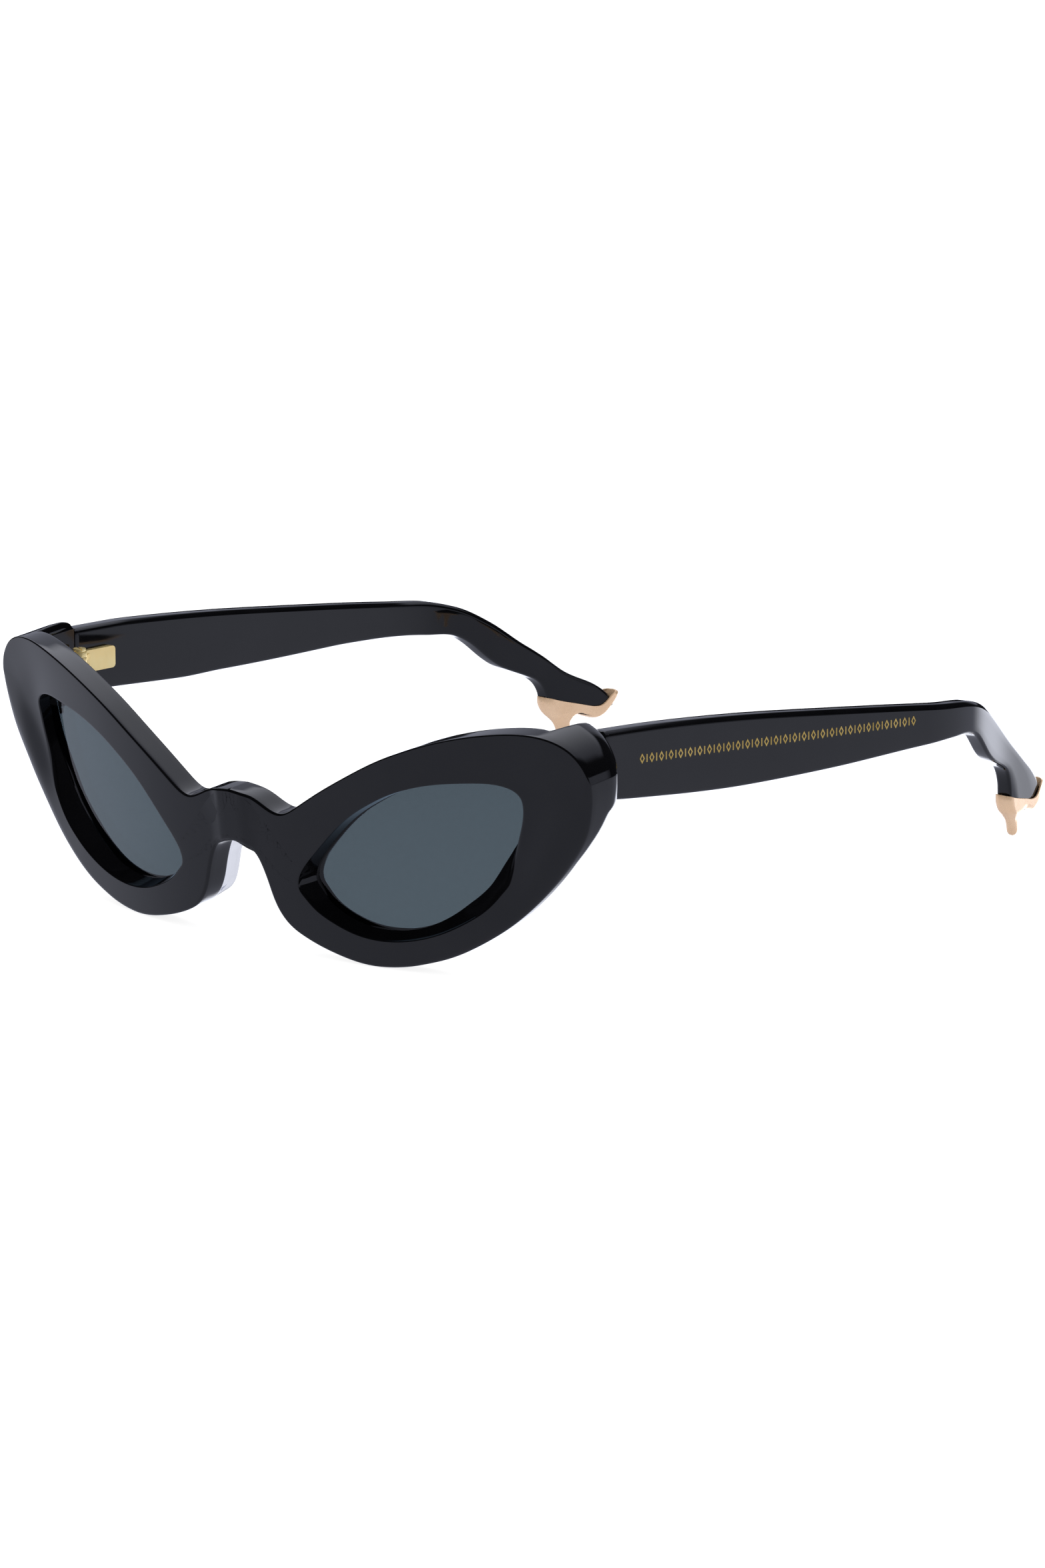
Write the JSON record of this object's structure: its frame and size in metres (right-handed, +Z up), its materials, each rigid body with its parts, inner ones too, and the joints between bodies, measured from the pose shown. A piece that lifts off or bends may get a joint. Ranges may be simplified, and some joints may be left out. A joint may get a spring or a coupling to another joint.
{
  "type": "cat eye sunglasses",
  "caption": "Cat eye sunglasses: thick acetate front with tinted lenses, folding acetate temples on barrel hinges, and a high-heel shoe on each temple tip.",
  "frame": {"origin": "on the flat the glasses rest on, under the middle of their bounding box", "axes": "+X to the wearer's left, +Y from the front towards the ears, +Z up"},
  "size_m": [0.1472, 0.1594, 0.0465],
  "materials": {
    "acetate": "polished black cellulose acetate",
    "pad_acetate": "polished black acetate",
    "tinted_lens": "dark blue-grey tinted lens",
    "hinge_gold": "polished yellow gold plating",
    "shoe_gold": "polished pale rose gold plating",
    "core_steel": "drawn wire"
  },
  "bodies": {
    "front": {"front_frame": "acetate", "lens_left": "tinted_lens", "lens_right": "tinted_lens", "nose_pad_left": "pad_acetate", "nose_pad_right": "pad_acetate", "front_hinge_left": "hinge_gold", "front_hinge_right": "hinge_gold", "hinge_screw_left": "hinge_gold", "hinge_screw_right": "hinge_gold"},
    "left_temple": {"temple_left": "acetate", "temple_hinge_left": "hinge_gold", "wire_core_left": "core_steel", "heel_shoe_left": "shoe_gold", "shoe_pin_left": "core_steel"},
    "right_temple": {"temple_right": "acetate", "temple_hinge_right": "hinge_gold", "wire_core_right": "core_steel", "heel_shoe_right": "shoe_gold", "shoe_pin_right": "core_steel"}
  },
  "joints": [
    {"name": "left_temple_fold", "type": "hinge", "parent": "front", "child": "left_temple", "pos_m": [0.0623, -0.05616, 0.03814], "axis": [0, 0.0323, 0.9995], "range_deg": [0, 88]},
    {"name": "right_temple_fold", "type": "hinge", "parent": "front", "child": "right_temple", "pos_m": [-0.0623, -0.05616, 0.03814], "axis": [0, -0.0323, -0.9995], "range_deg": [0, 73]}
  ]
}
